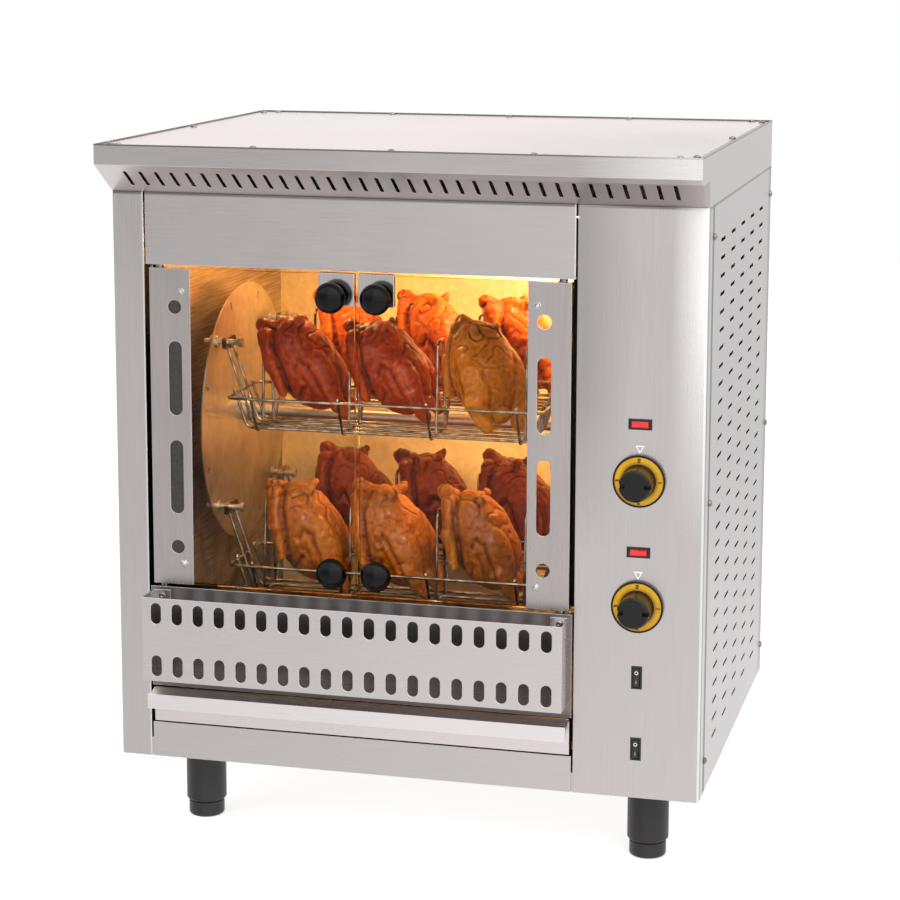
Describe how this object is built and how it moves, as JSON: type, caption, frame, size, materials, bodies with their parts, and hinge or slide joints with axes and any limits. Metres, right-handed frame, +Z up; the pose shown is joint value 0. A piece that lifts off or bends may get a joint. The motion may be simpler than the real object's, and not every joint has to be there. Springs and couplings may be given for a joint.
{
  "type": "chicken rotisserie",
  "caption": "Counter-top electric chicken rotisserie: steel cabinet on legs, glass doors, level wire baskets on a turning wheel, drip tray and a control panel with heat dials.",
  "frame": {"origin": "on the floor under the middle of the whole oven", "axes": "+Z up, +X to the right seen from the front, +Y from the doors to the back"},
  "size_m": [0.776, 0.663, 0.926],
  "materials": {
    "cabinet_steel": "satin",
    "screw_steel": "polished",
    "stile_steel": "satin",
    "clip_steel": "polished",
    "door_glass": "clear",
    "lamp_glass": "clear",
    "liner_steel": "polished",
    "refractory": "matte",
    "rotor_steel": "polished",
    "basket_wire": "polished",
    "roast_skin": "glossy",
    "element_sheath": "dull",
    "lamp_ceramic": "matte",
    "motor_casting": "cast",
    "bush_brass": "machined",
    "knob_black": "glossy",
    "dial_plastic": "satin with a yellow number ring",
    "lens_red": "clear red",
    "leg_plastic": "matte",
    "inner_plastic": "matte"
  },
  "bodies": {
    "cabinet": {"axle_bushes": "bush_brass", "base_pan": "cabinet_steel", "cabinet_screws": "screw_steel", "cable_gland": "inner_plastic", "control_panel": "cabinet_steel", "door_pins": "clip_steel", "fascia": "cabinet_steel", "gearmotor": "motor_casting", "guard": "cabinet_steel", "heating_elements": "element_sheath", "hood": "cabinet_steel", "kick_panel": "cabinet_steel", "left_post": "cabinet_steel", "left_side_panel": "cabinet_steel", "leg_sleeves": "leg_plastic", "liner_back": "refractory", "liner_ceiling": "liner_steel", "liner_left_wall": "liner_steel", "liner_right_wall": "liner_steel", "oven_lamp_glasses": "lamp_glass", "oven_lamps": "lamp_ceramic", "panel_bezels": "knob_black", "pilot_lenses": "lens_red", "rail_plate": "cabinet_steel", "rear_panel": "cabinet_steel", "right_side_panel": "cabinet_steel", "rotary_switches": "inner_plastic", "terminal_block": "inner_plastic", "top_panel": "cabinet_steel", "tray_runners": "cabinet_steel"},
    "rotor": {"axle": "rotor_steel", "left_disc": "liner_steel", "right_disc": "liner_steel", "disc_collars": "rotor_steel", "hanger_pins": "rotor_steel"},
    "basket_front_top": {"basket_front_top": "basket_wire", "chickens_front_top": "roast_skin"},
    "basket_rear_top": {"basket_rear_top": "basket_wire", "chickens_rear_top": "roast_skin"},
    "basket_front_bottom": {"basket_front_bottom": "basket_wire", "chickens_front_bottom": "roast_skin"},
    "basket_rear_bottom": {"basket_rear_bottom": "basket_wire", "chickens_rear_bottom": "roast_skin"},
    "left_door": {"left_door_glass": "door_glass", "left_door_stile": "stile_steel", "left_door_clip": "clip_steel", "left_door_knobs": "knob_black"},
    "right_door": {"right_door_glass": "door_glass", "right_door_stile": "stile_steel", "right_door_clip": "clip_steel", "right_door_knobs": "knob_black"},
    "upper_dial": {"upper_dial": "dial_plastic"},
    "lower_dial": {"lower_dial": "dial_plastic"},
    "upper_rocker": {"upper_rocker": "knob_black"},
    "lower_rocker": {"lower_rocker": "knob_black"},
    "drip_tray": {"drip_tray": "cabinet_steel"},
    "foot_front_left": {"foot_front_left": "leg_plastic"},
    "foot_front_right": {"foot_front_right": "leg_plastic"},
    "foot_rear_left": {"foot_rear_left": "leg_plastic"},
    "foot_rear_right": {"foot_rear_right": "leg_plastic"}
  },
  "joints": [
    {"name": "rotor_turn", "type": "hinge", "parent": "cabinet", "child": "rotor", "pos_m": [-0.06, 0.0235, 0.525], "axis": [1, 0, 0], "continuous": true},
    {"name": "front_top_swing", "type": "hinge", "parent": "rotor", "child": "basket_front_top", "pos_m": [-0.06, -0.09105, 0.63955], "axis": [1, 0, 0], "continuous": true},
    {"name": "rear_top_swing", "type": "hinge", "parent": "rotor", "child": "basket_rear_top", "pos_m": [-0.06, 0.13805, 0.63955], "axis": [1, 0, 0], "continuous": true},
    {"name": "front_bottom_swing", "type": "hinge", "parent": "rotor", "child": "basket_front_bottom", "pos_m": [-0.06, -0.09105, 0.41045], "axis": [1, 0, 0], "continuous": true},
    {"name": "rear_bottom_swing", "type": "hinge", "parent": "rotor", "child": "basket_rear_bottom", "pos_m": [-0.06, 0.13805, 0.41045], "axis": [1, 0, 0], "continuous": true},
    {"name": "left_door_hinge", "type": "hinge", "parent": "cabinet", "child": "left_door", "pos_m": [-0.325, -0.2645, 0.5545], "axis": [0, 0, -1], "range_deg": [0, 110]},
    {"name": "right_door_hinge", "type": "hinge", "parent": "cabinet", "child": "right_door", "pos_m": [0.205, -0.2645, 0.5545], "axis": [0, 0, 1], "range_deg": [0, 110]},
    {"name": "upper_dial_turn", "type": "hinge", "parent": "cabinet", "child": "upper_dial", "pos_m": [0.3045, -0.2715, 0.519], "axis": [0, -1, 0], "range_deg": [0, 270]},
    {"name": "lower_dial_turn", "type": "hinge", "parent": "cabinet", "child": "lower_dial", "pos_m": [0.3045, -0.2715, 0.359], "axis": [0, -1, 0], "range_deg": [0, 270]},
    {"name": "upper_rocker_rock", "type": "hinge", "parent": "cabinet", "child": "upper_rocker", "pos_m": [0.3045, -0.2705, 0.267], "axis": [1, 0, 0], "range_deg": [0, 16]},
    {"name": "lower_rocker_rock", "type": "hinge", "parent": "cabinet", "child": "lower_rocker", "pos_m": [0.3045, -0.2705, 0.174], "axis": [1, 0, 0], "range_deg": [0, 16]},
    {"name": "drip_tray_slide", "type": "slide", "parent": "cabinet", "child": "drip_tray", "axis": [0, -1, 0], "range_m": [0, 0.4]},
    {"name": "foot_front_left_turn", "type": "hinge", "parent": "cabinet", "child": "foot_front_left", "pos_m": [-0.305, -0.1715, 0], "axis": [0, 0, 1], "continuous": true},
    {"name": "foot_front_right_turn", "type": "hinge", "parent": "cabinet", "child": "foot_front_right", "pos_m": [0.305, -0.1715, 0], "axis": [0, 0, 1], "continuous": true},
    {"name": "foot_rear_left_turn", "type": "hinge", "parent": "cabinet", "child": "foot_rear_left", "pos_m": [-0.305, 0.2285, 0], "axis": [0, 0, 1], "continuous": true},
    {"name": "foot_rear_right_turn", "type": "hinge", "parent": "cabinet", "child": "foot_rear_right", "pos_m": [0.305, 0.2285, 0], "axis": [0, 0, 1], "continuous": true}
  ],
  "couplings": [
    {"joint": "front_top_swing", "follows": "rotor_turn", "ratio": -1},
    {"joint": "rear_top_swing", "follows": "rotor_turn", "ratio": -1},
    {"joint": "front_bottom_swing", "follows": "rotor_turn", "ratio": -1},
    {"joint": "rear_bottom_swing", "follows": "rotor_turn", "ratio": -1}
  ]
}
